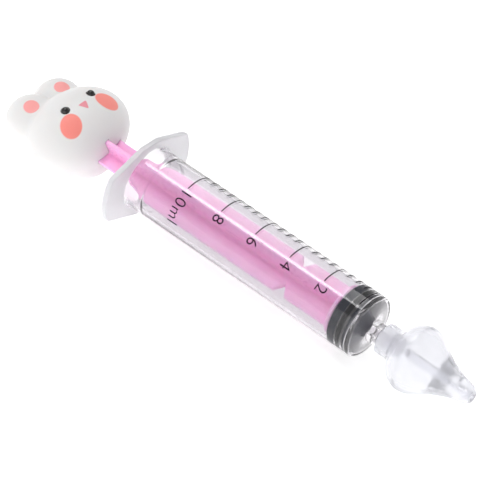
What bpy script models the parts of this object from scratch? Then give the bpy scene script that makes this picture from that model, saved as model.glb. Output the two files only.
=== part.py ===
"""Ten-millilitre dosing syringe: clear barrel with finger wings, cross-ribbed plunger with a ribbed rubber
stopper, a soft animal head as its thumb piece, and a soft bulb tip on the nozzle.

Frame: +X along the syringe towards the nozzle, +Z up, lying on the flat edge of its finger flange. The origin is
the middle of the overall length and width, on the surface it lies on. Units are metres.
"""

import math

import bmesh
import bpy
from mathutils import Matrix, Vector

MM = 0.001
GAP = 0.35 * MM                     # clearance between neighbouring pieces
LATHE_STEPS = 48

# Height of the syringe's axis: half the width of the finger flange across its two flats
AXIS_Z = 10.8 * MM

# Barrel
BORE_R = 7.55 * MM                  # 15.1 mm bore: 5.58 mm of stroke for each millilitre
BARREL_REAR_R = 8.53 * MM
BARREL_FRONT_R = 8.42 * MM
MOUTH_X = -33.2 * MM                # open end, flush with the flange's rear face
FLANGE_T = 1.6 * MM
BORE_END_X = 40.05 * MM             # shoulder where the bore meets the coned front wall
FRONT_WALL = 1.45 * MM
CONE_RISE = 1.2 * MM                # how far the front wall's cone stands forward at the hub
HUB_R = 2.9 * MM
HUB_END_X = 45.9 * MM
NOZZLE_BASE_R = 2.15 * MM
NOZZLE_END_R = 1.9 * MM
NOZZLE_END_X = 53.8 * MM
CHANNEL_R = 1.0 * MM
BEAD_X = -27.0 * MM                 # retaining bead inside the mouth
BEAD_H = 0.18 * MM

# Finger flange: a central disc blended by straight sides into two wings
WING_R = 15.7 * MM
WING_HALF_ANGLE = math.radians(26)
WAIST_FLAT = 3.0 * MM               # half length of the flat on each narrow side

# Plunger
RIB_T = 1.25 * MM
RIB_R = 6.1 * MM
TAIL_R = 4.2 * MM
ROD_TURN = math.radians(-18)        # how far the first rib stands from upright, about the axis
SHOULDER_X = (-34.4 * MM, -26.4 * MM)
NOTCH_X = 17.4 * MM
NOTCH_HALF = 1.9 * MM
NOTCH_DEPTH = 2.8 * MM
DISC_R = 6.9 * MM
DISC_X = (32.95 * MM, 34.0 * MM)
STUB_R = 2.5 * MM
BARB_R = 3.5 * MM
THUMB_R = 7.4 * MM
THUMB_X = (-54.0 * MM, -52.4 * MM)

# Stopper
STOPPER_REAR_X = DISC_X[1] + GAP
STOPPER_R = BORE_R - 0.3 * MM

# Head: half sizes along the axis, sideways and towards the face, which looks up
HEAD_X = -55.15 * MM
HEAD_BACK = 0.15 * MM
HEAD_HALF = (11.1 * MM, 14.8 * MM, 10.5 * MM)
EAR_X = -67.45 * MM
EAR_SIDE = 4.95 * MM
EAR_BACK = 0.8 * MM
EAR_HALF = (6.4 * MM, 6.8 * MM, 6.0 * MM)
CHIN_X = HEAD_X + 5.75 * MM
CHIN_BACK = 4.0 * MM
CHIN_HALF = (5.0 * MM, 9.0 * MM, 6.0 * MM)

# Nasal tip
TIP_REAR_X = 46.25 * MM
TIP_END_X = 73.85 * MM
COLLAR_R = 4.15 * MM
BULB_R = 8.9 * MM
BULB_X = 56.5 * MM
NOSE_X = 67.3 * MM
NOSE_R = 3.9 * MM
GROOVES = 4
GROOVE_R = 0.65 * MM

for leftover in list(bpy.data.objects):
    bpy.data.objects.remove(leftover, do_unlink=True)


def collection(name):
    made = bpy.data.collections.get(name) or bpy.data.collections.new(name)
    if made.name not in bpy.context.scene.collection.children:
        bpy.context.scene.collection.children.link(made)
    return made


PARTS = collection("dosing_syringe")
TOOLS = collection("dosing_syringe_cutters")
ALONG_X = Matrix.Rotation(math.radians(90), 4, "Y")     # turns local +Z to +X


def material(name, colour, roughness, metallic=0.0, alpha=1.0):
    made = bpy.data.materials.new(name)
    made.use_nodes = True
    shader = made.node_tree.nodes["Principled BSDF"]
    shader.inputs["Base Color"].default_value = (*colour, 1.0)
    shader.inputs["Roughness"].default_value = roughness
    shader.inputs["Metallic"].default_value = metallic
    shader.inputs["Alpha"].default_value = alpha
    return made


def place(name, mesh, group=PARTS, matrix=None):
    thing = bpy.data.objects.new(name, mesh)
    group.objects.link(thing)
    if matrix is not None:
        thing.matrix_world = matrix
    if group is TOOLS:
        thing.hide_render = True
        thing.display_type = "WIRE"
    return thing


def on_axis(x=0.0, turn=0.0):
    """Object placement with its origin on the syringe's axis, local +Z along +X."""
    return Matrix.Translation((x, 0, AXIS_Z)) @ Matrix.Rotation(turn, 4, "X") @ ALONG_X


def turned(name, profile, group=PARTS, x=0.0, closed=False, steps=LATHE_STEPS):
    """A body turned about the syringe's axis. profile is (x, radius) points that run down the outer side,
    from the nozzle end to the rear, then back along the inside if the body is hollow."""
    mesh = bpy.data.meshes.new(name)
    built = bmesh.new()
    points = [built.verts.new((radius, 0, along - x)) for along, radius in profile]
    for first, second in zip(points, points[1:] + (points[:1] if closed else [])):
        built.edges.new((first, second))
    built.to_mesh(mesh)
    built.free()
    body = place(name, mesh, group, on_axis(x))
    screw = body.modifiers.new("turn", "SCREW")
    screw.steps = screw.render_steps = steps
    screw.use_merge_vertices = True
    screw.merge_threshold = 0.00001
    return body


def plate(name, outline, thickness, matrix, group=TOOLS, holes=()):
    """A flat outline, a list of (x, y) points, made solid by half its thickness each way."""
    curve = bpy.data.curves.new(name, "CURVE")
    curve.dimensions = "2D"
    curve.fill_mode = "BOTH"
    curve.extrude = thickness / 2
    for loop in (outline, *holes):
        spline = curve.splines.new("POLY")
        spline.points.add(len(loop) - 1)
        for point, (along, across) in zip(spline.points, loop):
            point.co = (along, across, 0, 1)
        spline.use_cyclic_u = True
    guide = bpy.data.objects.new(name + "_outline", curve)
    TOOLS.objects.link(guide)
    bpy.context.view_layer.update()
    mesh = bpy.data.meshes.new_from_object(guide.evaluated_get(bpy.context.evaluated_depsgraph_get()))
    bpy.data.objects.remove(guide, do_unlink=True)
    built = bmesh.new()
    built.from_mesh(mesh)
    bmesh.ops.remove_doubles(built, verts=built.verts, dist=0.000005)
    bmesh.ops.dissolve_limit(built, angle_limit=math.radians(1), verts=built.verts, edges=built.edges)
    bmesh.ops.recalc_face_normals(built, faces=built.faces)
    built.to_mesh(mesh)
    built.free()
    return place(name, mesh, group, matrix)


def combine(body, other, operation="UNION"):
    cut = body.modifiers.new(operation.lower() + "_" + other.name, "BOOLEAN")
    cut.operation = operation
    cut.object = other
    cut.solver = "EXACT"
    return body


def ball(name, centre, half, group=TOOLS, segments=24, rings=14):
    """An ellipsoid with its scale in the mesh. Its poles lie along X."""
    mesh = bpy.data.meshes.new(name)
    built = bmesh.new()
    bmesh.ops.create_uvsphere(built, u_segments=segments, v_segments=rings, radius=1.0)
    bmesh.ops.transform(built, matrix=ALONG_X, verts=built.verts)
    bmesh.ops.scale(built, vec=Vector(half), verts=built.verts)
    built.to_mesh(mesh)
    built.free()
    return place(name, mesh, group, Matrix.Translation(centre))


def circle(radius, count=LATHE_STEPS):
    return [(radius * math.cos(a), radius * math.sin(a))
            for a in (2 * math.pi * i / count for i in range(count))]


def finish(body, look, crease=math.radians(35)):
    """Keep the cut shape as a plain mesh, smooth apart from its creases, with one material."""
    bpy.context.view_layer.update()
    mesh = bpy.data.meshes.new_from_object(body.evaluated_get(bpy.context.evaluated_depsgraph_get()))
    body.modifiers.clear()
    body.data = mesh
    mesh.name = body.name
    mesh.materials.clear()
    mesh.materials.append(look)
    mesh.shade_smooth()
    mesh.set_sharp_from_angle(angle=crease)


# ---------------------------------------------------------------- barrel

cone_x = BORE_END_X + FRONT_WALL
barrel = turned("barrel", [
    (NOZZLE_END_X, 0),
    (NOZZLE_END_X, NOZZLE_END_R),
    (HUB_END_X, NOZZLE_BASE_R),
    (HUB_END_X, HUB_R - 0.25 * MM),
    (HUB_END_X - 0.3 * MM, HUB_R - 0.05 * MM),
    (cone_x + CONE_RISE, HUB_R),
    (cone_x + 0.1 * MM, BARREL_FRONT_R - 1.0 * MM),
    (cone_x - 0.35 * MM, BARREL_FRONT_R - 0.3 * MM),
    (cone_x - 1.0 * MM, BARREL_FRONT_R),
    (MOUTH_X + FLANGE_T / 2, BARREL_REAR_R),
    (MOUTH_X + FLANGE_T / 2, 0),
])

bore = turned("bore", [
    (NOZZLE_END_X + MM, 0),
    (NOZZLE_END_X + MM, CHANNEL_R),
    (BORE_END_X + CONE_RISE + 0.6 * MM, CHANNEL_R),
    (BORE_END_X + CONE_RISE + 0.2 * MM, CHANNEL_R + 0.25 * MM),
    (BORE_END_X + 0.3 * MM, BORE_R - 0.35 * MM),
    (BORE_END_X, BORE_R),
    (BEAD_X + 0.6 * MM, BORE_R),
    (BEAD_X, BORE_R - BEAD_H),
    (BEAD_X - 0.6 * MM, BORE_R),
    (MOUTH_X + 0.8 * MM, BORE_R),
    (MOUTH_X - 0.2 * MM, BORE_R + 0.5 * MM),
    (MOUTH_X - 0.2 * MM, 0),
], TOOLS)


def wing_outline():
    """Two wing ends on one circle, joined by straight sides to a short flat at each narrow side."""
    corner = Vector((WING_R * math.cos(WING_HALF_ANGLE), WING_R * math.sin(WING_HALF_ANGLE)))
    upper = [(WAIST_FLAT, AXIS_Z), (corner.x - 1.2 * MM, corner.y + 0.3 * MM),
             (corner.x - 0.4 * MM, corner.y - 0.05 * MM)]
    for step in range(9):
        angle = WING_HALF_ANGLE * 0.9 * (1 - step / 4)
        upper.append((WING_R * math.cos(angle), WING_R * math.sin(angle)))
    side = upper + [(u, -v) for u, v in upper[2::-1]]
    return side + [(-u, -v) for u, v in side]


FLAT_TO_YZ = Matrix(((0, 0, 1, 0), (1, 0, 0, 0), (0, 1, 0, 0), (0, 0, 0, 1)))
flange = plate("flange", wing_outline(), FLANGE_T,
               Matrix.Translation((MOUTH_X + FLANGE_T / 2, 0, AXIS_Z)) @ FLAT_TO_YZ)
edge = flange.modifiers.new("edge", "BEVEL")
edge.width = 0.25 * MM
edge.segments = 1
edge.limit_method = "ANGLE"
edge.angle_limit = math.radians(60)

combine(barrel, flange)
combine(barrel, bore, "DIFFERENCE")
finish(barrel, material("clear_polypropylene", (0.86, 0.86, 0.89), 0.22, alpha=0.4))

# ---------------------------------------------------------------- plunger rod


def rib_outline(notched, trim):
    """Side view of one full rib pair: wide in the barrel, narrow at the tail, with a curved shoulder."""
    rear, front = SHOULDER_X
    edge_points = [(THUMB_X[1] - 0.6 * MM + trim, TAIL_R), (rear, TAIL_R)]
    for step in range(1, 5):
        part = step / 5
        ease = part * part * (3 - 2 * part)
        edge_points.append((rear + (front - rear) * part, TAIL_R + (RIB_R - TAIL_R) * ease))
    edge_points.append((front, RIB_R))
    if notched:
        edge_points += [(NOTCH_X - NOTCH_HALF, RIB_R), (NOTCH_X, RIB_R - NOTCH_DEPTH),
                        (NOTCH_X + NOTCH_HALF, RIB_R)]
    edge_points.append((DISC_X[0] + 0.5 * MM - trim, RIB_R))
    return edge_points + [(x, -r) for x, r in reversed(edge_points)]


def rib_placement(quarter):
    return Matrix.Translation((0, 0, AXIS_Z)) @ Matrix.Rotation(math.radians(90 * quarter) - ROD_TURN, 4, "X")


rod = plate("plunger_rod", rib_outline(False, 0), RIB_T, rib_placement(1), PARTS)
cross_rib = plate("cross_rib", rib_outline(True, 0.1 * MM), RIB_T, rib_placement(0))

barb_x = STOPPER_REAR_X + 1.3 * MM + GAP
stub = turned("stub", [
    (barb_x + 1.7 * MM, 0),
    (barb_x + 1.7 * MM, BARB_R - 0.9 * MM),
    (barb_x + 0.4 * MM, BARB_R),
    (barb_x, BARB_R),
    (barb_x, STUB_R),
    (DISC_X[1], STUB_R),
    (DISC_X[1], DISC_R - 0.15 * MM),
    (DISC_X[1] - 0.15 * MM, DISC_R),
    (DISC_X[0] + 0.15 * MM, DISC_R),
    (DISC_X[0], DISC_R - 0.15 * MM),
    (DISC_X[0], 0),
], TOOLS, steps=36)
thumb_plate = turned("thumb_plate", [
    (THUMB_X[1], 0), (THUMB_X[1], THUMB_R), (THUMB_X[0], THUMB_R), (THUMB_X[0], 0),
], TOOLS, steps=36)
for piece in (cross_rib, stub, thumb_plate):
    combine(rod, piece)
finish(rod, material("pink_polypropylene", (0.86, 0.24, 0.55), 0.28, alpha=0.85))

# ---------------------------------------------------------------- stopper

stopper = turned("plunger_stopper", [
    (BORE_END_X + 1.0 * MM, 0),
    (BORE_END_X + 1.0 * MM, 1.0 * MM),
    (BORE_END_X - 0.1 * MM, STOPPER_R - 0.35 * MM),
    (BORE_END_X - 0.3 * MM, STOPPER_R),
    (39.25 * MM, STOPPER_R),
    (39.05 * MM, STOPPER_R - 0.9 * MM),
    (38.75 * MM, STOPPER_R - 0.9 * MM),
    (38.5 * MM, STOPPER_R - 0.45 * MM),
    (37.2 * MM, STOPPER_R - 0.45 * MM),
    (37.0 * MM, STOPPER_R),
    (STOPPER_REAR_X + 0.25 * MM, STOPPER_R),
    (STOPPER_REAR_X, STOPPER_R - 0.3 * MM),
    (STOPPER_REAR_X, STUB_R + GAP),
    (STOPPER_REAR_X + 1.3 * MM, STUB_R + GAP),
    (STOPPER_REAR_X + 1.3 * MM, BARB_R + GAP),
    (barb_x + 1.7 * MM + GAP, BARB_R + GAP),
    (barb_x + 1.7 * MM + GAP, 0),
])
finish(stopper, material("black_rubber", (0.03, 0.03, 0.035), 0.5))

# ---------------------------------------------------------------- head

head = ball("thumb_head", (HEAD_X, 0, AXIS_Z - HEAD_BACK), HEAD_HALF, PARTS, 32, 20)
for side in (-1, 1):
    combine(head, ball("ear", (EAR_X, side * EAR_SIDE, AXIS_Z - EAR_BACK), EAR_HALF))
combine(head, ball("chin", (CHIN_X, 0, AXIS_Z - CHIN_BACK), CHIN_HALF))
socket_half = TAIL_R + GAP
socket_mid = (THUMB_X[1] + HEAD_X + HEAD_HALF[0]) / 2
socket_length = HEAD_X + HEAD_HALF[0] - THUMB_X[1] + 2 * MM
for quarter in (0, 1):
    slot = plate("slot", [(-socket_length / 2, -socket_half), (socket_length / 2, -socket_half),
                          (socket_length / 2, socket_half), (-socket_length / 2, socket_half)],
                 RIB_T + 2 * GAP, Matrix.Translation((socket_mid, 0, 0)) @ rib_placement(quarter))
    combine(head, slot, "DIFFERENCE")
combine(head, turned("thumb_pocket", [
    (THUMB_X[1] + GAP, 0), (THUMB_X[1] + GAP, THUMB_R + GAP),
    (THUMB_X[0] - GAP, THUMB_R + GAP), (THUMB_X[0] - GAP, 0),
], TOOLS, steps=36), "DIFFERENCE")
finish(head, material("white_vinyl", (0.87, 0.86, 0.85), 0.45), math.radians(50))

# ---------------------------------------------------------------- nasal tip

tip = turned("nasal_tip", [
    (TIP_END_X, CHANNEL_R),
    (TIP_END_X, 1.7 * MM),
    (TIP_END_X - 0.5 * MM, 2.3 * MM),
    (TIP_END_X - 1.8 * MM, 2.85 * MM),
    (NOSE_X, NOSE_R),
    (NOSE_X - 1.6 * MM, 4.6 * MM),
    (62.8 * MM, 6.0 * MM),
    (60.2 * MM, 7.7 * MM),
    (58.4 * MM, 8.6 * MM),
    (BULB_X, BULB_R),
    (54.9 * MM, 8.65 * MM),
    (53.4 * MM, 7.75 * MM),
    (52.0 * MM, 6.3 * MM),
    (50.8 * MM, 4.6 * MM),
    (50.0 * MM, COLLAR_R),
    (TIP_REAR_X + 0.3 * MM, COLLAR_R),
    (TIP_REAR_X, COLLAR_R - 0.3 * MM),
    (TIP_REAR_X, NOZZLE_BASE_R + GAP),
    (NOZZLE_END_X + GAP, NOZZLE_END_R + GAP),
    (NOZZLE_END_X + GAP, CHANNEL_R),
], closed=True)
groove_start = Vector((NOSE_X + 0.3 * MM, 0, NOSE_R))
groove_end = Vector((TIP_END_X - 1.4 * MM, 0, 2.8 * MM))
for index in range(GROOVES):
    mesh = bpy.data.meshes.new("groove")
    built = bmesh.new()
    bmesh.ops.create_cone(built, cap_ends=True, segments=10, radius1=GROOVE_R, radius2=GROOVE_R * 0.8,
                          depth=(groove_end - groove_start).length)
    built.to_mesh(mesh)
    built.free()
    lean = (groove_end - groove_start).to_track_quat("Z", "Y").to_matrix().to_4x4()
    turn = Matrix.Rotation(2 * math.pi * (index + 0.5) / GROOVES, 4, "X")
    middle = Matrix.Translation((groove_start + groove_end) / 2)
    groove = place("groove", mesh, TOOLS, Matrix.Translation((0, 0, AXIS_Z)) @ turn @ middle @ lean)
    combine(tip, groove, "DIFFERENCE")
finish(tip, material("clear_silicone", (0.88, 0.89, 0.93), 0.12, alpha=0.45))
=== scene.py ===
"""Visual model of a ten-millilitre dosing syringe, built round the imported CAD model.

Every piece is placed from the CAD nodes' boxes. Lengths are metres, and the shapes' own sizes are written in
millimetres and multiplied by MM. Angles round the syringe's axis are measured from +Z towards +Y.
"""

import math

import bmesh
import bpy
import numpy as np
from mathutils import Matrix, Vector


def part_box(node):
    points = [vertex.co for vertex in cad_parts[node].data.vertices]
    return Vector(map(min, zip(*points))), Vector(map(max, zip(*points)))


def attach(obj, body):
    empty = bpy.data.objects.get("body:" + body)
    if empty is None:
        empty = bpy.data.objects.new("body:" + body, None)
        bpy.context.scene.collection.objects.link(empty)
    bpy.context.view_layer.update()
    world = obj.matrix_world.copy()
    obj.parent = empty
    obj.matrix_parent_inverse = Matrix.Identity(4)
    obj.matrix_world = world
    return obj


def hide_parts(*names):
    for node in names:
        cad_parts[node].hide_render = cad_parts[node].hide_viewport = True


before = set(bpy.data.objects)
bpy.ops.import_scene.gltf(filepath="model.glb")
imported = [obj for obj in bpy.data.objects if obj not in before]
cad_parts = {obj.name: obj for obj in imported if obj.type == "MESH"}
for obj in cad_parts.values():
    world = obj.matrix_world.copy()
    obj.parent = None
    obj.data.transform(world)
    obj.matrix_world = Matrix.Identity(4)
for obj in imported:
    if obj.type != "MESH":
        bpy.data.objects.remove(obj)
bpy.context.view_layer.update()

MM = 0.001
SCENE = bpy.context.scene

barrel_low, barrel_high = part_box("barrel")
tip_low, tip_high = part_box("nasal_tip")
head_low, head_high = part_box("thumb_head")
stopper_low, stopper_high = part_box("plunger_stopper")
rod_end_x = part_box("plunger_rod")[0].x

AXIS_Z = (barrel_low.z + barrel_high.z) / 2
MOUTH_X = barrel_low.x                        # open end, flush with the flange's rear face
NOZZLE_END_X = barrel_high.x
BORE_R = 7.55 * MM
BARREL_R = (8.53 * MM, 8.42 * MM)             # outside, at the flange and at the front
FLANGE_T = 1.6 * MM
FLANGE_FRONT_X = MOUTH_X + FLANGE_T
BORE_END_X = MOUTH_X + 73.25 * MM
CONE_X = BORE_END_X + 1.45 * MM               # edge of the front wall
CONE_TOP_X = CONE_X + 1.2 * MM                # where the cone meets the hub
HUB_R = 2.9 * MM
HUB_END_X = NOZZLE_END_X - 7.9 * MM
CHANNEL_R = 1.0 * MM


# ---------------------------------------------------------------- geometry helpers

def piece(name, mesh, look, body, nodes, smooth_angle):
    """A visible piece: smooth but for its sharp edges, riding on a CAD body and standing for CAD nodes."""
    made = linked(name, mesh)
    mesh.materials.clear()
    mesh.materials.append(look)
    mesh.shade_smooth()
    mesh.set_sharp_from_angle(angle=math.radians(smooth_angle))
    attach(made, body)
    if nodes:
        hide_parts(*nodes)
    return made


def mesh_from(built, name):
    """A mesh of what the bmesh holds, which is freed."""
    mesh = bpy.data.meshes.new(name)
    built.to_mesh(mesh)
    built.free()
    return mesh


def linked(name, data):
    """A new object in the scene."""
    thing = bpy.data.objects.new(name, data)
    SCENE.collection.objects.link(thing)
    return thing


def applied(thing, name):
    """An object's mesh with its modifiers applied. The object itself is removed."""
    bpy.context.view_layer.update()
    mesh = bpy.data.meshes.new_from_object(thing.evaluated_get(bpy.context.evaluated_depsgraph_get()))
    bpy.data.objects.remove(thing, do_unlink=True)
    mesh.name = name
    return mesh


def merged(name, meshes, operation="UNION"):
    """The first closed mesh joined with the others, or cut by them, as one plain mesh."""
    body = linked(name, meshes[0])
    others = [linked(name + "_other", mesh) for mesh in meshes[1:]]
    for other in others:
        change = body.modifiers.new("merge", "BOOLEAN")
        change.operation, change.object, change.solver = operation, other, "EXACT"
    result = applied(body, name)
    for other in others:
        bpy.data.objects.remove(other, do_unlink=True)
    return result


def rounded(corners, steps):
    """A line of (x, radius, rounding) corners, each rounded over that length on both sides of it."""
    most = 0.48                               # the largest share of a side that one corner may take
    line = []
    for index, (along, radius, size) in enumerate(corners):
        here = np.array((along, radius))
        if size == 0 or index in (0, len(corners) - 1):
            line.append(tuple(here))
            continue
        before, after = np.array(corners[index - 1][:2]), np.array(corners[index + 1][:2])
        start = here + (before - here) * min(most, size / np.linalg.norm(before - here))
        end = here + (after - here) * min(most, size / np.linalg.norm(after - here))
        for step in range(steps + 1):
            t = step / steps
            line.append(tuple((1 - t) ** 2 * start + 2 * t * (1 - t) * here + t * t * end))
    return line


def flowing(points, per_span):
    """A smooth line through (x, radius) points."""
    pts = np.array([points[0], *points, points[-1]], float)
    line = []
    for a, b, c, d in zip(pts, pts[1:], pts[2:], pts[3:]):
        for step in range(per_span):
            t = step / per_span
            line.append(tuple(0.5 * (2 * b + (c - a) * t + (2 * a - 5 * b + 4 * c - d) * t * t
                                     + (3 * b - a - 3 * c + d) * t ** 3)))
    return line + [tuple(pts[-1])]


def angles_round(count, first=0.0):
    """Equal steps round the axis."""
    return np.arange(count) * 2 * math.pi / count + first


TURNED_ANGLES = angles_round(192)
FLANGE_ANGLES = angles_round(256)
DISC_ANGLES = angles_round(96, 0.004)         # off the ribs' own corners, so that no edges coincide
POCKET_ANGLES = angles_round(64, 0.007)


def skin(built, loops, closed=False):
    """Faces between each loop of points and the next. A loop of one point closes a body at the axis."""
    count = max(len(loop) for loop in loops)
    for one, two in zip(loops, loops[1:] + (loops[:1] if closed else [])):
        for i in range(count):
            j = (i + 1) % count
            corners = [one[i % len(one)], one[j % len(one)], two[j % len(two)], two[i % len(two)]]
            built.faces.new(list(dict.fromkeys(corners)))


def turned(name, rings, closed=False, angles=TURNED_ANGLES):
    """A body of rings round the axis, each (x, radius) with one radius or one for every angle.

    A closed one is hollow, its last ring joined to its first; otherwise each end is closed at the axis.
    """
    built = bmesh.new()
    loops = []
    for along, radius in rings:
        if np.max(radius) == 0:
            loops.append([built.verts.new((along, 0, AXIS_Z))])
            continue
        radii = np.broadcast_to(radius, angles.shape)
        loops.append([built.verts.new((along, r * math.sin(a), AXIS_Z + r * math.cos(a)))
                      for a, r in zip(angles, radii)])
    skin(built, loops, closed)
    bmesh.ops.recalc_face_normals(built, faces=built.faces)
    return mesh_from(built, name)


def ellipsoid(built, centre, half):
    made = bmesh.ops.create_icosphere(built, subdivisions=5, radius=1.0)["verts"]
    bmesh.ops.scale(built, vec=half, verts=made)
    bmesh.ops.translate(built, vec=centre, verts=made)


# ---------------------------------------------------------------- material helpers

class Look:
    """A node material, with short ways to add nodes and links."""

    def __init__(self, name):
        self.material = bpy.data.materials.new(name)
        self.material.use_nodes = True
        self.tree = self.material.node_tree
        self.shader = self.tree.nodes["Principled BSDF"]
        self.output = self.tree.nodes["Material Output"]
        self.place = self.add("ShaderNodeTexCoord").outputs["Object"]

    def add(self, kind, **settings):
        node = self.tree.nodes.new(kind)
        for key, value in settings.items():
            setattr(node, key, value)
        return node

    def link(self, source, target):
        """Links an output to a socket, or sets the socket to a value."""
        if hasattr(source, "is_linked"):
            self.tree.links.new(source, target)
        elif target.type == "RGBA":
            target.default_value = (*source, 1.0)
        else:
            target.default_value = source

    def feed(self, **sources):
        """Links or sets the shader's own sockets, with _ for a space in their names."""
        for key, source in sources.items():
            self.link(source, self.shader.inputs[key.replace("_", " ")])

    def maths(self, operation, first, second=0.0, third=0.0):
        node = self.add("ShaderNodeMath", operation=operation)
        for value, socket in zip((first, second, third), node.inputs):
            self.link(value, socket)
        return node.outputs[0]

    def noise(self, scale, detail=3.0, stretch=None, distortion=0.0):
        node = self.add("ShaderNodeTexNoise")
        source = self.place
        if stretch:
            mapping = self.add("ShaderNodeMapping")
            mapping.inputs["Scale"].default_value = stretch
            self.link(source, mapping.inputs["Vector"])
            source = mapping.outputs[0]
        settings = {"Scale": scale, "Detail": detail, "Distortion": distortion, "Vector": source}
        for key, value in settings.items():
            self.link(value, node.inputs[key])
        return node.outputs["Fac"]

    def ranged(self, value, low, high, out_low=0.0, out_high=1.0, smooth=False):
        node = self.add("ShaderNodeMapRange", interpolation_type="SMOOTHSTEP" if smooth else "LINEAR")
        for socket, number in zip(node.inputs, (value, low, high, out_low, out_high)):
            self.link(number, socket)
        return node.outputs[0]

    def uneven(self, noise, low, high):
        """Noise spread over a range, such as a roughness that varies over the surface."""
        return self.ranged(noise, 0.3, 0.7, low, high)

    def blend(self, factor, first, second):
        node = self.add("ShaderNodeMix", data_type="RGBA")
        self.link(factor, node.inputs["Factor"])
        colours = [s for s in node.inputs if s.type == "RGBA"]
        for value, socket in zip((first, second), colours):
            self.link(value, socket)
        return [s for s in node.outputs if s.type == "RGBA"][0]

    def parts(self, vector):
        """The X, Y and Z outputs of a vector."""
        split = self.add("ShaderNodeSeparateXYZ")
        self.link(vector, split.inputs[0])
        return split.outputs

    def bump(self, height, strength, distance):
        node = self.add("ShaderNodeBump")
        node.inputs["Strength"].default_value = strength
        node.inputs["Distance"].default_value = distance
        self.link(height, node.inputs["Height"])
        self.feed(Normal=node.outputs[0])

    def lets_lamps_through(self, colour):
        """Lamps reach what is inside or behind the piece, as they do through thin clear plastic."""
        path = self.add("ShaderNodeLightPath")
        open_side = self.add("ShaderNodeBsdfTransparent")
        self.link(colour, open_side.inputs["Color"])
        mix = self.add("ShaderNodeMixShader")
        self.link(path.outputs["Is Shadow Ray"], mix.inputs[0])
        self.link(self.shader.outputs[0], mix.inputs[1])
        self.link(open_side.outputs[0], mix.inputs[2])
        self.link(mix.outputs[0], self.output.inputs["Surface"])


def clear_plastic(name, clear, rough, tint):
    """Injection-moulded polypropylene: clear, faintly and unevenly milky, with fine flow lines."""
    look = Look(name)
    haze = look.noise(260, stretch=(0.25, 1.0, 1.0))
    pale = tuple(0.95 * c for c in tint)
    look.feed(Transmission_Weight=clear, IOR=1.49, Base_Color=look.blend(haze, pale, tint),
              Roughness=look.uneven(look.noise(900, 2.0), *rough))
    look.bump(look.noise(420, 2.0, stretch=(0.12, 1.0, 1.0)), strength=0.05, distance=0.04 * MM)
    look.lets_lamps_through((0.95, 0.95, 0.955))
    return look.material


def clear_silicone():
    """Soft clear silicone with a faint cool tint and slightly uneven, oily gloss."""
    look = Look("clear_silicone")
    colour = look.blend(look.noise(220), (0.79, 0.795, 0.835), (0.865, 0.865, 0.895))
    look.feed(Transmission_Weight=0.72, IOR=1.36, Base_Color=colour,
              Roughness=look.uneven(look.noise(700, 2.0), 0.07, 0.11))
    look.bump(look.noise(300, 2.0, distortion=0.6), strength=0.15, distance=0.08 * MM)
    look.lets_lamps_through((0.93, 0.935, 0.95))
    return look.material


def pink_plastic():
    """Translucent pink polypropylene, deeper in the thick roots and painted paler towards the ribs' thin
    edges, as painted light shining through the thin plastic.
    """
    look = Look("pink_plastic")
    place = look.parts(look.place)
    height = look.maths("SUBTRACT", place["Z"], AXIS_Z)
    away = look.maths("SQRT", look.maths(
        "MULTIPLY_ADD", place["Y"], place["Y"], look.maths("POWER", height, 2.0)))
    thick = look.blend(look.noise(180, stretch=(0.3, 1.0, 1.0)), (0.97, 0.42, 0.73), (1.0, 0.48, 0.78))
    # Painted light: the ribs' edges get a paler colour, as if light shone through the thin plastic.
    thin = (1.0, 0.55, 0.82)
    colour = look.blend(look.ranged(away, 2.0 * MM, 6.3 * MM), thick, thin)
    look.feed(Subsurface_Weight=0.45, Subsurface_Radius=(1.0, 0.35, 0.7), Subsurface_Scale=1.6 * MM, IOR=1.49,
              Specular_IOR_Level=0.36, Base_Color=colour,
              Roughness=look.uneven(look.noise(1200, 2.0), 0.24, 0.36))
    look.bump(look.noise(600, stretch=(0.2, 1.0, 1.0)), strength=0.15, distance=0.05 * MM)
    return look.material


def black_rubber():
    """Dark grey satin rubber with fine moulding grain, with painted shade on the middle rib and its grooves,
    as if they lay in a shaded recess.
    """
    look = Look("black_rubber")
    colour = look.blend(look.noise(500, 4.0), (0.010, 0.012, 0.022), (0.020, 0.024, 0.038))
    along = look.parts(look.place)["X"]
    # Painted shade: a band over the middle rib and its grooves is painted nearly black, as shade in a recess.
    behind = look.ranged(along, stopper_high.x - 4.25 * MM, stopper_high.x - 4.05 * MM)
    front = look.ranged(along, stopper_high.x - 2.3 * MM, stopper_high.x - 1.8 * MM, 1.0, 0.0)
    colour = look.blend(look.maths("MULTIPLY", behind, front), colour, (0.001, 0.001, 0.003))
    look.feed(IOR=1.5, Specular_IOR_Level=0.12, Base_Color=colour,
              Roughness=look.uneven(look.noise(1500), 0.38, 0.55))
    look.bump(look.noise(2600), strength=0.2, distance=0.03 * MM)
    return look.material


def printed_ink():
    """Screen-printed black ink, slightly thin in places."""
    look = Look("printed_ink")
    cloud = look.noise(1800, 4.0)
    colour = look.blend(cloud, (0.006, 0.004, 0.008), (0.016, 0.012, 0.018))
    look.feed(Specular_IOR_Level=0.12, Base_Color=colour, Roughness=look.uneven(cloud, 0.6, 0.8))
    look.bump(look.noise(4000, 2.0), strength=0.15, distance=0.01 * MM)
    return look.material


HEAD_HALF = Vector((11.2, 14.9, 10.6)) * MM
HEAD_MIDDLE = Vector((head_high.x - HEAD_HALF.x, 0, AXIS_Z - 0.1 * MM))
EAR_HALF = Vector((6.5, 6.9, 6.1)) * MM
EAR_X, EAR_SIDE, EAR_Z = head_low.x + 6.5 * MM, 4.95 * MM, AXIS_Z - 0.8 * MM
BROW_X, BROW_SIDE, BROW_Z = head_low.x + 10.6 * MM, 5.0 * MM, AXIS_Z - 1.0 * MM
BROW_HALF = Vector((5.6, 6.2, 6.2)) * MM      # lumps that fill the hollow between each ear and the head
CHIN_MIDDLE = HEAD_MIDDLE + Vector((5.9, 0, -3.7)) * MM
CHIN_HALF = Vector((5.0, 8.8, 6.0)) * MM

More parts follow.
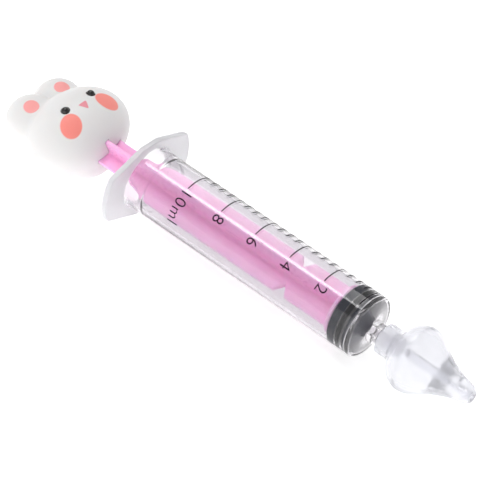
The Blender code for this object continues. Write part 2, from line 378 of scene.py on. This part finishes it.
FACE_SIDE = -1.1 * MM                         # the face looks a little to one side
EYE_X, EYE_SIDE, EYE_R = head_low.x + 17.75 * MM, 4.7 * MM, 1.1 * MM
CHEEK_X, CHEEK_SIDE, CHEEK_HALF = head_low.x + 21.85 * MM, 6.75 * MM, (3.4 * MM, 2.8 * MM)
PAD_X, PAD_SIDE, PAD_R = head_low.x + 7.45 * MM, 5.7 * MM, 2.05 * MM
MUZZLE_X, MUZZLE_R = head_low.x + 19.85 * MM, 0.86 * MM
PAINT_DEPTH = 5 * MM                          # how far into the head an oval of paint fades out


def top_of(middle, half, x, y):
    """How far above its middle an ellipsoid's upper surface is at x, y."""
    return half.z * math.sqrt(1 - ((x - middle.x) / half.x) ** 2 - ((y - middle.y) / half.y) ** 2)


def white_vinyl():
    """Soft white vinyl with the animal's eyes, nose, cheeks and ear pads painted on it."""
    look = Look("white_vinyl")

    def local(middle, half, x, y, size, turn):
        """Position over an ellipsoid's upper surface at x, y, in units of size, with z straight out of it."""
        centre = Vector((x, y, middle.z + top_of(middle, half, x, y)))
        out = Vector([(centre[i] - middle[i]) / half[i] ** 2 for i in range(3)]).normalized()
        along = Vector((math.cos(turn), math.sin(turn), 0))
        along = (along - out * along.dot(out)).normalized()
        axes = Matrix((along, out.cross(along), out)).transposed()
        mapping = look.add("ShaderNodeMapping", vector_type="TEXTURE")
        mapping.inputs["Location"].default_value = centre
        mapping.inputs["Rotation"].default_value = axes.to_euler()
        mapping.inputs["Scale"].default_value = (*size, PAINT_DEPTH)
        look.link(look.place, mapping.inputs["Vector"])
        return mapping.outputs[0]

    def oval(middle, half, x, y, size, turn=0.0):
        length = look.add("ShaderNodeVectorMath", operation="LENGTH")
        look.link(local(middle, half, x, y, size, turn), length.inputs[0])
        return look.ranged(length.outputs["Value"], 0.94, 1.06, 1.0, 0.0, smooth=True)

    def triangle(x, y, size):
        """Flat side towards the ears, point towards the chin, with soft corners."""
        place = look.parts(local(HEAD_MIDDLE, HEAD_HALF, x, y, (size, size), 0.0))
        reach = look.maths("MULTIPLY", place["X"], -1.0)
        for side in (-math.sin(math.radians(60)), math.sin(math.radians(60))):
            slope = look.maths("MULTIPLY_ADD", place["Y"], side, look.maths("MULTIPLY", place["X"], 0.5))
            reach = look.maths("SMOOTH_MAX", reach, slope, 0.95)
        on_the_front = look.maths("GREATER_THAN", place["Z"], -1.0)
        return look.maths("MULTIPLY", look.ranged(reach, 0.9, 1.1, 1.0, 0.0, smooth=True), on_the_front)

    def both(paint):
        return look.maths("MAXIMUM", *(paint(side) for side in (-1, 1)))

    eyes = both(lambda s: oval(HEAD_MIDDLE, HEAD_HALF, EYE_X, s * EYE_SIDE + FACE_SIDE,
                               (EYE_R + 0.15 * MM, EYE_R + 0.15 * MM)))
    cheeks = both(lambda s: oval(HEAD_MIDDLE, HEAD_HALF, CHEEK_X, s * CHEEK_SIDE + FACE_SIDE, CHEEK_HALF,
                                 s * math.radians(45)))
    pads = both(lambda s: oval(Vector((EAR_X, s * EAR_SIDE, EAR_Z)), EAR_HALF, PAD_X,
                               s * PAD_SIDE + FACE_SIDE, (PAD_R, PAD_R)))
    nose = triangle(MUZZLE_X, FACE_SIDE, MUZZLE_R)

    colour = look.blend(look.noise(160), (0.775, 0.765, 0.762), (0.815, 0.805, 0.802))
    for paint, shade in ((pads, (0.98, 0.37, 0.36)), (cheeks, (1.0, 0.29, 0.25)),
                         (nose, (0.82, 0.29, 0.34)), (eyes, (0.016, 0.014, 0.014))):
        colour = look.blend(paint, colour, shade)
    gloss = look.blend(eyes, look.uneven(look.noise(1400), 0.42, 0.58), (0.16, 0.16, 0.16))
    look.feed(Subsurface_Weight=0.35, Subsurface_Radius=(1.0, 0.8, 0.7), Subsurface_Scale=2.0 * MM, IOR=1.5,
              Base_Color=colour, Roughness=gloss)
    painted = look.maths("MAXIMUM", look.maths("MAXIMUM", eyes, cheeks), look.maths("MAXIMUM", nose, pads))
    grain = look.maths("MULTIPLY_ADD", painted, 0.8, look.maths("MULTIPLY", look.noise(2200), 0.5))
    look.bump(grain, strength=0.25, distance=0.04 * MM)
    return look.material


# ---------------------------------------------------------------- barrel

WING_R = (barrel_high.y - barrel_low.y) / 2
WING_HALF_ANGLE = math.radians(26)
WING_CORNER = (WING_R * math.cos(WING_HALF_ANGLE) - 0.9 * MM, WING_R * math.sin(WING_HALF_ANGLE) + 0.25 * MM)
FLAT_END = (3.0 * MM, AXIS_Z)                 # where the short flat on which the syringe lies ends
EDGE = 0.32 * MM                              # rounding of the flange's edge
LIP = 0.12 * MM                               # the narrow flat just inside that rounding
MOUTH_R = BORE_R + 0.75 * MM                  # the bore widens a little at its open end
QUARTER = [math.pi / 2 * step / 6 for step in range(7)]          # a quarter turn round the edge


def wing_radius(angle):
    """The flange's outline: two wing ends on one circle, joined by straight sides to short flats."""
    reach = WING_R
    side, up = abs(math.sin(angle)), abs(math.cos(angle))
    normal = (FLAT_END[1] - WING_CORNER[1], WING_CORNER[0] - FLAT_END[0])
    away = normal[0] * FLAT_END[0] + normal[1] * FLAT_END[1]
    across = normal[0] * side + normal[1] * up
    if across > 0:
        reach = min(reach, away / across)
    if up > 0:
        reach = min(reach, AXIS_Z / up)
    return reach


def flange_outline():
    outline = np.array([wing_radius(a) for a in FLANGE_ANGLES])
    for _ in range(3):
        outline = 0.5 * outline + 0.25 * (np.roll(outline, 1) + np.roll(outline, -1))
    return np.minimum(outline, WING_R)


def barrel_rings():
    """From the nozzle's end back over the outside, round the flange, and forward through the bore."""
    outline = flange_outline()
    inner = outline - EDGE
    flare_r = BARREL_R[0] + 2.2 * MM
    rings = rounded([
        (NOZZLE_END_X, CHANNEL_R, 0),
        (NOZZLE_END_X, 1.9 * MM, 0.25 * MM),
        (HUB_END_X, 2.15 * MM, 0.25 * MM),
        (HUB_END_X, HUB_R, 0.4 * MM),
        (CONE_TOP_X, HUB_R, 0.35 * MM),
        (CONE_X - 0.05 * MM, BARREL_R[1], 0.95 * MM),
        (FLANGE_FRONT_X + 0.02 * MM, BARREL_R[0], 0.8 * MM),
        (FLANGE_FRONT_X, flare_r, 0),
    ], 8)
    rings += [(FLANGE_FRONT_X, flare_r * (1 - share) + inner * share) for share in (0.45, 0.8)]
    rings.append((FLANGE_FRONT_X, inner - LIP))
    for t in QUARTER:
        rings.append((FLANGE_FRONT_X - EDGE * (1 - math.cos(t)), outline - EDGE * (1 - math.sin(t))))
    for t in QUARTER:
        rings.append((MOUTH_X + EDGE * (1 - math.sin(t)), outline - EDGE * (1 - math.cos(t))))
    rings.append((MOUTH_X, inner - LIP))
    rings += [(MOUTH_X, (MOUTH_R + 1.2 * MM) * (1 - share) + inner * share) for share in (0.6, 0.25)]
    rings += rounded([
        (MOUTH_X, MOUTH_R + 1.2 * MM, 0),
        (MOUTH_X, MOUTH_R, 0.3 * MM),
        (MOUTH_X + 1.3 * MM, BORE_R, 0.6 * MM),
        (MOUTH_X + 5.5 * MM, BORE_R, 0.3 * MM),
        (MOUTH_X + 6.2 * MM, BORE_R - 0.2 * MM, 0.3 * MM),
        (MOUTH_X + 6.9 * MM, BORE_R, 0.3 * MM),
        (BORE_END_X, BORE_R, 0.5 * MM),
        (BORE_END_X + 1.1 * MM, CHANNEL_R + 0.5 * MM, 0.5 * MM),
        (BORE_END_X + 1.9 * MM, CHANNEL_R, 0.5 * MM),
        (NOZZLE_END_X, CHANNEL_R, 0),
    ], 6)[:-1]
    return rings


WALL_TINT = (0.825, 0.807, 0.835)
barrel = piece("barrel_shell", turned("barrel_shell", barrel_rings(), closed=True, angles=FLANGE_ANGLES),
               clear_plastic("clear_wall", 0.98, (0.04, 0.07), WALL_TINT),
               "barrel", ["barrel"], 50)
barrel.data.materials.append(clear_plastic("satin_bore", 0.97, (0.07, 0.10), WALL_TINT))
barrel.data.materials.append(clear_plastic("matt_flange", 0.42, (0.32, 0.38), (0.89, 0.895, 0.915)))
WALL_SLOT, BORE_SLOT, FLANGE_SLOT = range(3)
for face in barrel.data.polygons:
    away = math.hypot(face.center.y, face.center.z - AXIS_Z)
    if face.center.x < FLANGE_FRONT_X + 0.05 * MM and away > BORE_R + 0.9 * MM:
        face.material_index = FLANGE_SLOT
    elif away < BORE_R + 0.02 * MM and face.center.x < BORE_END_X + 1.0 * MM:
        face.material_index = BORE_SLOT
    else:
        face.material_index = WALL_SLOT


# ---------------------------------------------------------------- printed scale

ZERO_X = BORE_END_X - 0.9 * MM                # the zero mark
PER_ML = 5.584 * MM                           # along the axis
INK_LIFT, INK_T = 0.004 * MM, 0.03 * MM       # the gap under the print and its thickness


def round_the_tube(degrees):
    """The distance round the tube's outside at an angle from its top."""
    return math.radians(degrees) * BARREL_R[0]


def wrapped(flat_print, name):
    """Bends thin flat print round the barrel: x is along the axis, y the distance round, z the height."""
    for vert in flat_print.verts:
        share = (vert.co.x - MOUTH_X) / (CONE_X - MOUTH_X)
        radius = BARREL_R[0] + (BARREL_R[1] - BARREL_R[0]) * share + INK_LIFT + vert.co.z
        angle = vert.co.y / BARREL_R[0]
        vert.co = (vert.co.x, radius * math.sin(angle), AXIS_Z + radius * math.cos(angle))
    bmesh.ops.recalc_face_normals(flat_print, faces=flat_print.faces)
    return mesh_from(flat_print, name)


def bar(built, middle, width, start, end, pieces):
    """One printed line across the axis with rounded ends, as a thin closed strip."""
    half = width / 2
    stations = [(start, 0.45), (start + half * 0.4, 0.85), (start + half, 1.0)]
    stations += [(start + half + (end - start - width) * i / pieces, 1.0) for i in range(1, pieces)]
    stations += [(end - half, 1.0), (end - half * 0.4, 0.85), (end, 0.45)]
    loops = []
    for across, share in stations:
        reach = half * share
        loops.append([built.verts.new((middle + dx, across, z))
                      for dx, z in ((-reach, 0), (reach, 0), (reach, INK_T), (-reach, INK_T))])
    skin(built, loops)
    built.faces.new(loops[0])
    built.faces.new(loops[-1])


def scale_marks():
    """A mark for every half millilitre, and a longer, thinner one for every two."""
    marks = bmesh.new()
    for count in range(21):
        middle, end = ZERO_X - count / 2 * PER_ML, round_the_tube(62)
        if count % 4 == 0:
            bar(marks, middle, 0.32 * MM, round_the_tube(-20), end, 16)
        else:
            bar(marks, middle, 0.46 * MM, round_the_tube(16), end, 10)
    return wrapped(marks, "scale_marks")


def printed_text(words, size, start_y, middle_x):
    """A number as a thin flat solid, its top towards the nozzle and reading towards -Y."""
    curve = bpy.data.curves.new("print", "FONT")
    curve.body = words
    curve.size = size
    curve.resolution_u = 6
    curve.offset = -0.008 * size
    curve.extrude = INK_T / 2
    curve.space_character = 1.12
    mesh = applied(linked("print", curve), "print")
    points = np.array([v.co for v in mesh.vertices])
    low, high = points.min(0), points.max(0)
    for vert in mesh.vertices:
        across, up, z = vert.co
        vert.co = (middle_x + up - (low[1] + high[1]) / 2, start_y - (across - low[0]), z + INK_T / 2)
    return mesh


def scale_numbers():
    """A number beside each long mark but the first."""
    numbers = bmesh.new()
    for value in (10, 8, 6, 4, 2):
        words, angle = ("10ml", -28.0) if value == 10 else (str(value), -28.5)
        middle = ZERO_X - value * PER_ML + 0.7 * MM
        numbers.from_mesh(printed_text(words, 4.65 * MM, round_the_tube(angle), middle))
    bmesh.ops.remove_doubles(numbers, verts=numbers.verts, dist=0.002 * MM)
    return wrapped(numbers, "scale_numbers")


ink = printed_ink()
piece("scale_marks", scale_marks(), ink, "barrel", [], 30)
piece("scale_numbers", scale_numbers(), ink, "barrel", [], 30)


# ---------------------------------------------------------------- plunger rod

RIB_HALF = 0.625 * MM
RIB_R, TAIL_R = 6.1 * MM, 4.2 * MM
ROOT_FILLET, TIP_ROUND = 0.55 * MM, 0.22 * MM
ROD_TURN = math.radians(-18)
SHOULDER = (MOUTH_X - 1.2 * MM, MOUTH_X + 6.8 * MM)
NOTCH_X, NOTCH_HALF, NOTCH_DEPTH = MOUTH_X + 50.6 * MM, 1.9 * MM, 2.8 * MM
DISC_X = (stopper_low.x - 1.4 * MM, stopper_low.x - 0.35 * MM)
BARB_X = stopper_low.x + 1.65 * MM
THUMB_X, THUMB_R = (rod_end_x, rod_end_x + 1.6 * MM), 7.4 * MM


def rib_reach(along, notched):
    share = min(1.0, max(0.0, (along - SHOULDER[0]) / (SHOULDER[1] - SHOULDER[0])))
    reach = TAIL_R + (RIB_R - TAIL_R) * share * share * (3 - 2 * share)
    if notched:
        reach -= NOTCH_DEPTH * max(0.0, 1 - abs(along - NOTCH_X) / NOTCH_HALF)
    return reach


def cross_section(along):
    """The cruciform section's outline as (y, height over the axis) points, all the way round."""
    half, c, f = RIB_HALF, TIP_ROUND, ROOT_FILLET
    points = []
    for arm in range(4):
        reach = rib_reach(along, arm % 2 == 1)
        turn = ROD_TURN + arm * math.pi / 2
        out, side = Vector((math.sin(turn), math.cos(turn))), Vector((math.cos(turn), -math.sin(turn)))
        shape = [(half + f * 0.29, half + f * 0.29), (half + f, half), (half + f + 0.25 * MM, half),
                 ((half + reach) / 2, half), (reach - c, half), (reach - 0.3 * c, half - 0.3 * c),
                 (reach, half - c)]
        ring = [(u, -v) for u, v in shape] + [(u, v) for u, v in reversed(shape[1:])]
        points += [out * u + side * v for u, v in ring]
    return points


def ribs():
    """The cross-shaped bar, with more stations at its shoulder and at the notch."""
    notch = (-2.1, -1.95, -1.85, -1.0, -0.12, 0.0, 0.12, 1.0, 1.85, 1.95, 2.1)
    plain = (-12.0, -6.0, 15.0, 24.0, 33.0, 42.0, 58.0)
    stations = sorted({THUMB_X[0] + 0.8 * MM, DISC_X[0] + 0.5 * MM,
                       *(SHOULDER[0] + (SHOULDER[1] - SHOULDER[0]) * i / 14 for i in range(15)),
                       *(NOTCH_X + d * MM for d in notch), *(MOUTH_X + d * MM for d in plain)})
    built = bmesh.new()
    loops = [[built.verts.new((x, p[0], AXIS_Z + p[1])) for p in cross_section(x)] for x in stations]
    skin(built, loops)
    built.faces.new(loops[0])
    built.faces.new(loops[-1])
    bmesh.ops.recalc_face_normals(built, faces=built.faces)
    return mesh_from(built, "ribs")


def disc_and_barb():
    """The disc behind the stopper and the barbed stub that the stopper snaps over."""
    return turned("disc", rounded([
        (BARB_X + 1.7 * MM, 0, 0),
        (BARB_X + 1.7 * MM, 2.6 * MM, 0.3 * MM),
        (BARB_X + 0.4 * MM, 3.5 * MM, 0.2 * MM),
        (BARB_X, 3.5 * MM, 0.1 * MM),
        (BARB_X, 2.5 * MM, 0.1 * MM),
        (DISC_X[1], 2.5 * MM, 0.2 * MM),
        (DISC_X[1], 6.9 * MM, 0.25 * MM),
        (DISC_X[0], 6.9 * MM, 0.25 * MM),
        (DISC_X[0], 0, 0),
    ], 4), angles=DISC_ANGLES)


def thumb_plate():
    return turned("thumb", rounded([
        (THUMB_X[1], 0, 0),
        (THUMB_X[1], THUMB_R, 0.3 * MM),
        (THUMB_X[0], THUMB_R, 0.3 * MM),
        (THUMB_X[0], 0, 0),
    ], 4), angles=DISC_ANGLES)


piece("plunger_ribs", merged("plunger_ribs", [ribs(), disc_and_barb(), thumb_plate()]), pink_plastic(),
      "plunger", ["plunger_rod"], 45)


# ---------------------------------------------------------------- stopper

SEAL_R = BORE_R + 0.01 * MM                   # the rubber is pressed against the bore
STUB_R, BARB_R = 2.85 * MM, 3.85 * MM         # its hollow, which takes the rod's stub and barb


def stopper_rings():
    """From the front cone back over the sealing ribs, then into the socket."""
    front, rear = stopper_high.x, stopper_low.x
    return rounded([
        (front, 0, 0),
        (front, 1.0 * MM, 0.3 * MM),
        (front - 1.15 * MM, SEAL_R - 0.35 * MM, 0.35 * MM),
        (front - 1.35 * MM, SEAL_R, 0.15 * MM),
        (front - 1.85 * MM, SEAL_R, 0.12 * MM),
        (front - 2.0 * MM, SEAL_R - 0.9 * MM, 0.12 * MM),
        (front - 2.35 * MM, SEAL_R - 0.9 * MM, 0.12 * MM),
        (front - 2.5 * MM, SEAL_R, 0.12 * MM),
        (front - 3.9 * MM, SEAL_R, 0.05 * MM),
        (front - 4.0 * MM, SEAL_R - 0.35 * MM, 0.05 * MM),
        (front - 4.15 * MM, SEAL_R - 0.35 * MM, 0.05 * MM),
        (front - 4.25 * MM, SEAL_R, 0.05 * MM),
        (rear + 0.1 * MM, SEAL_R, 0.3 * MM),
        (rear, SEAL_R - 0.6 * MM, 0.2 * MM),
        (rear, STUB_R, 0.1 * MM),
        (rear + 1.3 * MM, STUB_R, 0.1 * MM),
        (rear + 1.3 * MM, BARB_R, 0.1 * MM),
        (rear + 3.7 * MM, BARB_R, 0.1 * MM),
        (rear + 3.7 * MM, 0, 0),
    ], 5)


piece("stopper_rubber", turned("stopper_rubber", stopper_rings()), black_rubber(), "stopper",
      ["plunger_stopper"], 50)


# ---------------------------------------------------------------- head

SOCKET_GAP = 0.12 * MM
SLOT_LENGTH, SLOT_MIDDLE_X = 16 * MM, head_high.x - 6 * MM


def soft_head():
    """The head, ears, brows and chin run together into one soft lump."""
    built = bmesh.new()
    ellipsoid(built, HEAD_MIDDLE, HEAD_HALF)
    for side in (-1, 1):
        ellipsoid(built, (EAR_X, side * EAR_SIDE, EAR_Z), EAR_HALF)
        ellipsoid(built, (BROW_X, side * BROW_SIDE, BROW_Z), BROW_HALF)
    ellipsoid(built, CHIN_MIDDLE, CHIN_HALF)
    blank = linked("head_lumps", mesh_from(built, "head_lumps"))
    remesh = blank.modifiers.new("join", "REMESH")
    remesh.mode, remesh.voxel_size = "VOXEL", 0.42 * MM
    relax = blank.modifiers.new("relax", "SMOOTH")
    relax.factor, relax.iterations = 0.5, 30
    return applied(blank, "soft_head")


def eye_bead(side):
    built = bmesh.new()
    across = side * EYE_SIDE + FACE_SIDE
    height = HEAD_MIDDLE.z + top_of(HEAD_MIDDLE, HEAD_HALF, EYE_X, across) - 0.3 * MM
    ellipsoid(built, (EYE_X, across, height), [EYE_R] * 3)
    return mesh_from(built, "eye_bead")


def slot_cutter(quarter):
    """The slot in the head for one pair of the rod's ribs."""
    built = bmesh.new()
    bmesh.ops.create_cube(built, size=1.0)
    size = (SLOT_LENGTH, 2 * (TAIL_R + SOCKET_GAP), 2 * (RIB_HALF + SOCKET_GAP))
    bmesh.ops.scale(built, vec=size, verts=built.verts)
    turn = Matrix.Rotation(quarter * math.pi / 2 - ROD_TURN, 3, "X")
    bmesh.ops.rotate(built, matrix=turn, verts=built.verts)
    bmesh.ops.translate(built, vec=(SLOT_MIDDLE_X, 0, AXIS_Z), verts=built.verts)
    return mesh_from(built, "slot_cutter")


def pocket_cutter():
    """The pocket in the head for the rod's thumb plate."""
    front, rear, radius = THUMB_X[1] + SOCKET_GAP, THUMB_X[0] - SOCKET_GAP, THUMB_R + SOCKET_GAP
    return turned("pocket", [(front, 0), (front, radius), (rear, radius), (rear, 0)], angles=POCKET_ANGLES)


head = merged("head_with_eyes", [soft_head(), eye_bead(-1), eye_bead(1)])
head = merged("animal_head", [head, slot_cutter(0), slot_cutter(1), pocket_cutter()], "DIFFERENCE")
piece("animal_head", head, white_vinyl(), "plunger", ["thumb_head"], 60)


# ---------------------------------------------------------------- nasal tip

COLLAR_R = 4.15 * MM
TIP_OUTSIDE = (                               # distance from the collar's rear and radius, in millimetres
    (1.2, 4.15), (3.4, 4.25), (4.8, 5.2), (6.1, 7.07), (7.6, 8.23), (9.2, 8.86), (10.4, 8.9), (12.6, 8.4),
    (15.2, 6.87), (17.8, 5.3), (20.9, 3.98), (23.0, 3.4), (24.8, 3.0), (26.1, 2.7), (27.0, 2.1))
FLUTES_X = (tip_low.x + 21.2 * MM, tip_high.x - 0.7 * MM)
FLUTE_RUN_OUT, FLUTE_DEPTH, FLUTE_SHARPNESS = 0.9 * MM, 0.62 * MM, 6


def fluted(along, radius):
    """The nose has four rounded grooves, from just in front of the bulb to its outlet."""
    rise = min(1.0, max(0.0, (along - FLUTES_X[0]) / FLUTE_RUN_OUT))
    fall = min(1.0, max(0.0, (FLUTES_X[1] - along) / FLUTE_RUN_OUT))
    groove = (0.5 + 0.5 * np.cos(4 * (TURNED_ANGLES - math.radians(45)))) ** FLUTE_SHARPNESS
    return radius - FLUTE_DEPTH * rise * fall * groove


def tip_rings():
    """From the outlet back over the nose, the bulb and the collar, then forward through the socket."""
    outside = flowing([*((tip_low.x + x * MM, r * MM) for x, r in TIP_OUTSIDE), (tip_high.x, 1.7 * MM)], 5)
    socket_end = NOZZLE_END_X + 0.35 * MM
    rings = [(tip_high.x, CHANNEL_R), (tip_high.x, 1.4 * MM)]
    rings += [(x, fluted(x, r)) for x, r in reversed(outside)]
    rings += rounded([
        (tip_low.x + 0.6 * MM, COLLAR_R, 0),
        (tip_low.x, COLLAR_R, 0.3 * MM),
        (tip_low.x, 2.5 * MM, 0.3 * MM),
        (socket_end, 2.2 * MM, 0.3 * MM),
        (socket_end, CHANNEL_R, 0.3 * MM),
        (tip_high.x, CHANNEL_R, 0),
    ], 4)[:-1]
    return rings


piece("soft_tip", turned("soft_tip", tip_rings(), closed=True), clear_silicone(), "nasal_tip",
      ["nasal_tip"], 50)


# ---------------------------------------------------------------- floor, light and camera

MIDDLE = Vector((-0.65 * MM, 0, AXIS_Z))      # what the lamps and the camera face
HORIZON, ZENITH = 0.90, 0.28                  # how bright the studio's walls and ceiling are


def floor():
    built = bmesh.new()
    bmesh.ops.create_grid(built, x_segments=24, y_segments=24, size=1.8)
    ground = linked("floor", mesh_from(built, "floor"))
    ground.location.z = -0.02 * MM
    look = Look("pale_floor")
    colour = look.blend(look.noise(6, 2.0), (0.90, 0.90, 0.90), (0.93, 0.93, 0.93))
    look.feed(Base_Color=colour, Roughness=0.9, Specular_IOR_Level=0.1,
              Emission_Color=(1.0, 1.0, 1.0), Emission_Strength=0.55)
    ground.data.materials.append(look.material)


def studio():
    """Plain white surroundings, darker overhead."""
    world = bpy.data.worlds.new("studio")
    world.use_nodes = True
    nodes, links = world.node_tree.nodes, world.node_tree.links
    split, ramp = nodes.new("ShaderNodeSeparateXYZ"), nodes.new("ShaderNodeMapRange")
    links.new(nodes.new("ShaderNodeTexCoord").outputs["Generated"], split.inputs[0])
    links.new(split.outputs["Z"], ramp.inputs["Value"])
    ramp.inputs["To Min"].default_value, ramp.inputs["To Max"].default_value = HORIZON, ZENITH
    links.new(ramp.outputs[0], nodes["Background"].inputs["Strength"])
    nodes["Background"].inputs["Color"].default_value = (1.0, 1.0, 1.0, 1.0)
    SCENE.world = world


def facing_middle(first, second, away, distance):
    """Where a lamp or a camera stands to face the object, its own axes along first, second and away."""
    turn = Matrix((first, second, away)).transposed().to_4x4()
    return Matrix.Translation(MIDDLE + away * distance) @ turn


def axis_as_seen(away):
    """The syringe's axis and the direction across it, both square to a line of sight."""
    first = (Vector((1, 0, 0)) - away * away.x).normalized()
    return first, away.cross(first)


def softbox(name, direction, distance, size, power):
    """A rectangular lamp facing the object, its first side as near as can be along the syringe's axis."""
    lamp = bpy.data.lights.new(name, "AREA")
    lamp.shape = "RECTANGLE"
    lamp.size, lamp.size_y = size
    lamp.energy = power
    away = Vector(direction).normalized()
    linked(name, lamp).matrix_world = facing_middle(*axis_as_seen(away), away, distance)


def camera():
    """A long lens over the barrel, rolled until the axis runs down to the right."""
    back = Vector((0.4258, -0.6171, 0.6618)).normalized()
    roll = math.radians(34.15)
    along, across = axis_as_seen(back)
    right = along * math.cos(roll) + across * math.sin(roll)
    up = across * math.cos(roll) - along * math.sin(roll)
    lens = bpy.data.cameras.new("camera")
    lens.lens, lens.sensor_width = 277.4, 36.0
    holder = linked("camera", lens)
    holder.matrix_world = facing_middle(right, up, back, 0.92)
    SCENE.camera = holder


floor()
studio()
softbox("strip", (-0.43, -0.09, 0.90), 0.7, (0.34, 0.10), 0.53)
softbox("overhead", (-0.43, 0.25, 0.87), 1.0, (0.44, 0.85), 3.4)
softbox("front", (0.20, -0.85, 0.35), 1.0, (1.2, 0.9), 3.0)
camera()
SCENE.view_settings.view_transform = "Standard"
